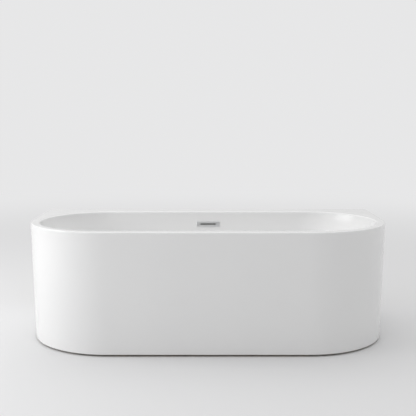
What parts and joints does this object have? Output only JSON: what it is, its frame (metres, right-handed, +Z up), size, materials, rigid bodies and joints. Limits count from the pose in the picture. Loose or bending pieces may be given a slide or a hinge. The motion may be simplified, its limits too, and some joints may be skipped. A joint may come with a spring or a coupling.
{
  "type": "freestanding bathtub",
  "caption": "Back-to-wall bath with a D-shaped plan: acrylic basin and skirt on a steel frame, levelling feet, slot overflow and push plug.",
  "frame": {"origin": "on the floor under the middle of the plan, with the feet at their rest height", "axes": "+X along the bath, -Y the front, +Y the wall side, +Z up"},
  "size_m": [1.7, 0.8, 0.56],
  "materials": {
    "acrylic": "glossy white sanitary acrylic",
    "glass_fibre": "chopped glass fibre in resin, rough",
    "board": "particle board sealed with resin",
    "timber": "planed softwood",
    "frame_paint": "powder-coated steel tube",
    "zinc": "bright zinc plate",
    "chrome": "polished chrome plate",
    "white_plastic": "moulded polypropylene, satin",
    "hose": "corrugated polypropylene hose",
    "black_plastic": "moulded nylon, fine grain",
    "rubber": "soft black rubber"
  },
  "bodies": {
    "bath": {"basin_shell": "acrylic", "basin_backing": "glass_fibre", "base_board": "board", "rim_batten": "timber", "rim_block_left": "timber", "rim_block_right": "timber", "skirt_shell": "acrylic", "skirt_backing": "glass_fibre", "skirt_batten_front": "timber", "skirt_batten_left": "timber", "skirt_batten_right": "timber", "rail_front": "frame_paint", "rail_rear_left": "frame_paint", "rail_rear_right": "frame_paint", "cross_rail_left": "frame_paint", "cross_rail_right": "frame_paint", "inner_rail_left": "frame_paint", "inner_rail_right": "frame_paint", "rail_end_caps": "black_plastic", "stay_front_left": "zinc", "stay_front_right": "zinc", "stay_end_left": "zinc", "stay_end_right": "zinc", "stay_screws": "zinc", "lock_nut_1": "zinc", "lock_nut_2": "zinc", "lock_nut_3": "zinc", "lock_nut_4": "zinc", "lock_nut_5": "zinc", "drain_flange": "chrome", "drain_seal": "rubber", "drain_washer": "rubber", "drain_body": "white_plastic", "plug_cartridge": "black_plastic", "trap_nut": "white_plastic", "trap_body": "white_plastic", "trap_base": "white_plastic", "outlet_nut": "white_plastic", "outlet_pipe": "white_plastic", "overflow_plate": "chrome", "overflow_gasket": "rubber", "overflow_body": "white_plastic", "overflow_screws": "zinc", "overflow_hose": "hose", "hose_nut_top": "white_plastic", "hose_nut_bottom": "white_plastic"},
    "plug": {"plug_cap": "chrome", "plug_seal": "rubber", "plug_stem": "zinc"},
    "foot_1": {"foot_pad_1": "black_plastic", "foot_stud_1": "zinc"},
    "foot_2": {"foot_pad_2": "black_plastic", "foot_stud_2": "zinc"},
    "foot_3": {"foot_pad_3": "black_plastic", "foot_stud_3": "zinc"},
    "foot_4": {"foot_pad_4": "black_plastic", "foot_stud_4": "zinc"},
    "foot_5": {"foot_pad_5": "black_plastic", "foot_stud_5": "zinc"}
  },
  "joints": [
    {"name": "plug_lift", "type": "slide", "parent": "bath", "child": "plug", "axis": [0, 0, 1], "range_m": [0, 0.008]},
    {"name": "foot_1_height", "type": "slide", "parent": "bath", "child": "foot_1", "axis": [0, 0, 1], "range_m": [-0.015, 0.007]},
    {"name": "foot_2_height", "type": "slide", "parent": "bath", "child": "foot_2", "axis": [0, 0, 1], "range_m": [-0.015, 0.007]},
    {"name": "foot_3_height", "type": "slide", "parent": "bath", "child": "foot_3", "axis": [0, 0, 1], "range_m": [-0.015, 0.007]},
    {"name": "foot_4_height", "type": "slide", "parent": "bath", "child": "foot_4", "axis": [0, 0, 1], "range_m": [-0.015, 0.007]},
    {"name": "foot_5_height", "type": "slide", "parent": "bath", "child": "foot_5", "axis": [0, 0, 1], "range_m": [-0.015, 0.007]}
  ]
}
